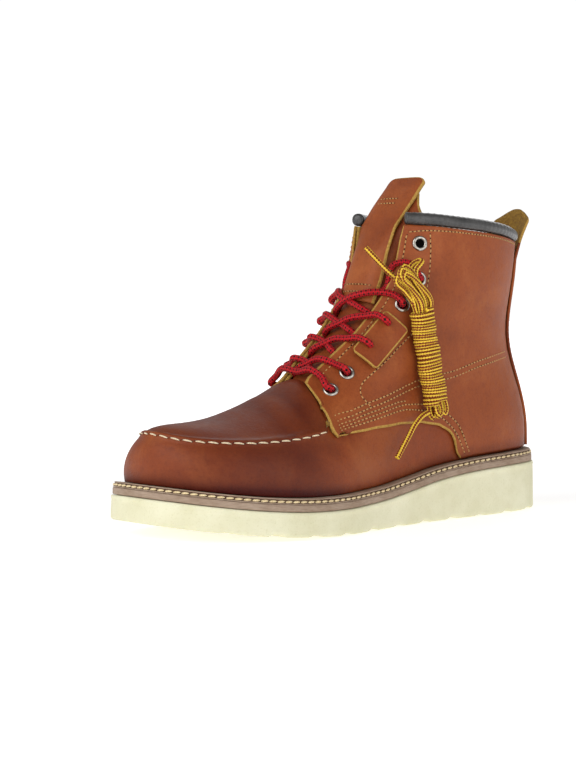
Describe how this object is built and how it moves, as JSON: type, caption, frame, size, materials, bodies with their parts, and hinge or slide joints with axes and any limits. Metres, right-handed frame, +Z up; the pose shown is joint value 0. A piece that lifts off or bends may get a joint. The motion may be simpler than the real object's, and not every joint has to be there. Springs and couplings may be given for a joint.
{
  "type": "wedge sole work boot",
  "caption": "Left ankle-high lace-up work boot with a moc toe, a flat wedge sole, a rolled collar, a pull tab and a spare lace in a hank.",
  "frame": {"origin": "on the floor under the centre of the heel, on the flat of a tread lug, 35 mm ahead of the sole's back end", "axes": "+Z up, toe toward -Y and heel toward +Y, +X toward the outer side of this left boot"},
  "size_m": [0.115, 0.3083, 0.2087],
  "materials": {
    "cream_rubber": "matte",
    "taupe_leatherboard": "matte",
    "brown_oiled_leather": "satin",
    "tan_leather": "satin",
    "dark_lining_leather": "satin",
    "tan_insole_leather": "matte",
    "dark_nickel": "satin",
    "red_cord": "matte",
    "yellow_cord": "matte"
  },
  "bodies": {
    "root": {"outsole": "cream_rubber", "midsole": "taupe_leatherboard", "welt": "taupe_leatherboard", "insole": "tan_insole_leather", "upper": "brown_oiled_leather", "quarter_outer": "brown_oiled_leather", "quarter_inner": "brown_oiled_leather", "tongue": "brown_oiled_leather", "tongue_strip": "tan_leather", "back_strip": "tan_leather", "collar_binding_outer": "dark_lining_leather", "collar_binding_inner": "dark_lining_leather", "lace_tag": "brown_oiled_leather", "lace_bar": "red_cord", "spare_lace_hank": "yellow_cord", "spare_end_upper": "yellow_cord", "spare_end_lower": "yellow_cord", "spare_loop": "yellow_cord", "lace_sixth_row_outer": "red_cord", "lace_sixth_row_inner": "red_cord", "lace_crossing_2": "red_cord", "lace_crossing_3": "red_cord", "lace_crossing_4": "red_cord", "lace_crossing_5": "red_cord", "eyelet_outer_1": "dark_nickel", "eyelet_outer_2": "dark_nickel", "eyelet_outer_3": "dark_nickel", "eyelet_outer_4": "dark_nickel", "eyelet_outer_5": "dark_nickel", "eyelet_outer_6": "dark_nickel", "eyelet_outer_7": "dark_nickel", "eyelet_inner_1": "dark_nickel", "eyelet_inner_2": "dark_nickel", "eyelet_inner_3": "dark_nickel", "eyelet_inner_4": "dark_nickel", "eyelet_inner_5": "dark_nickel", "eyelet_inner_6": "dark_nickel", "eyelet_inner_7": "dark_nickel"}
  },
  "joints": []
}
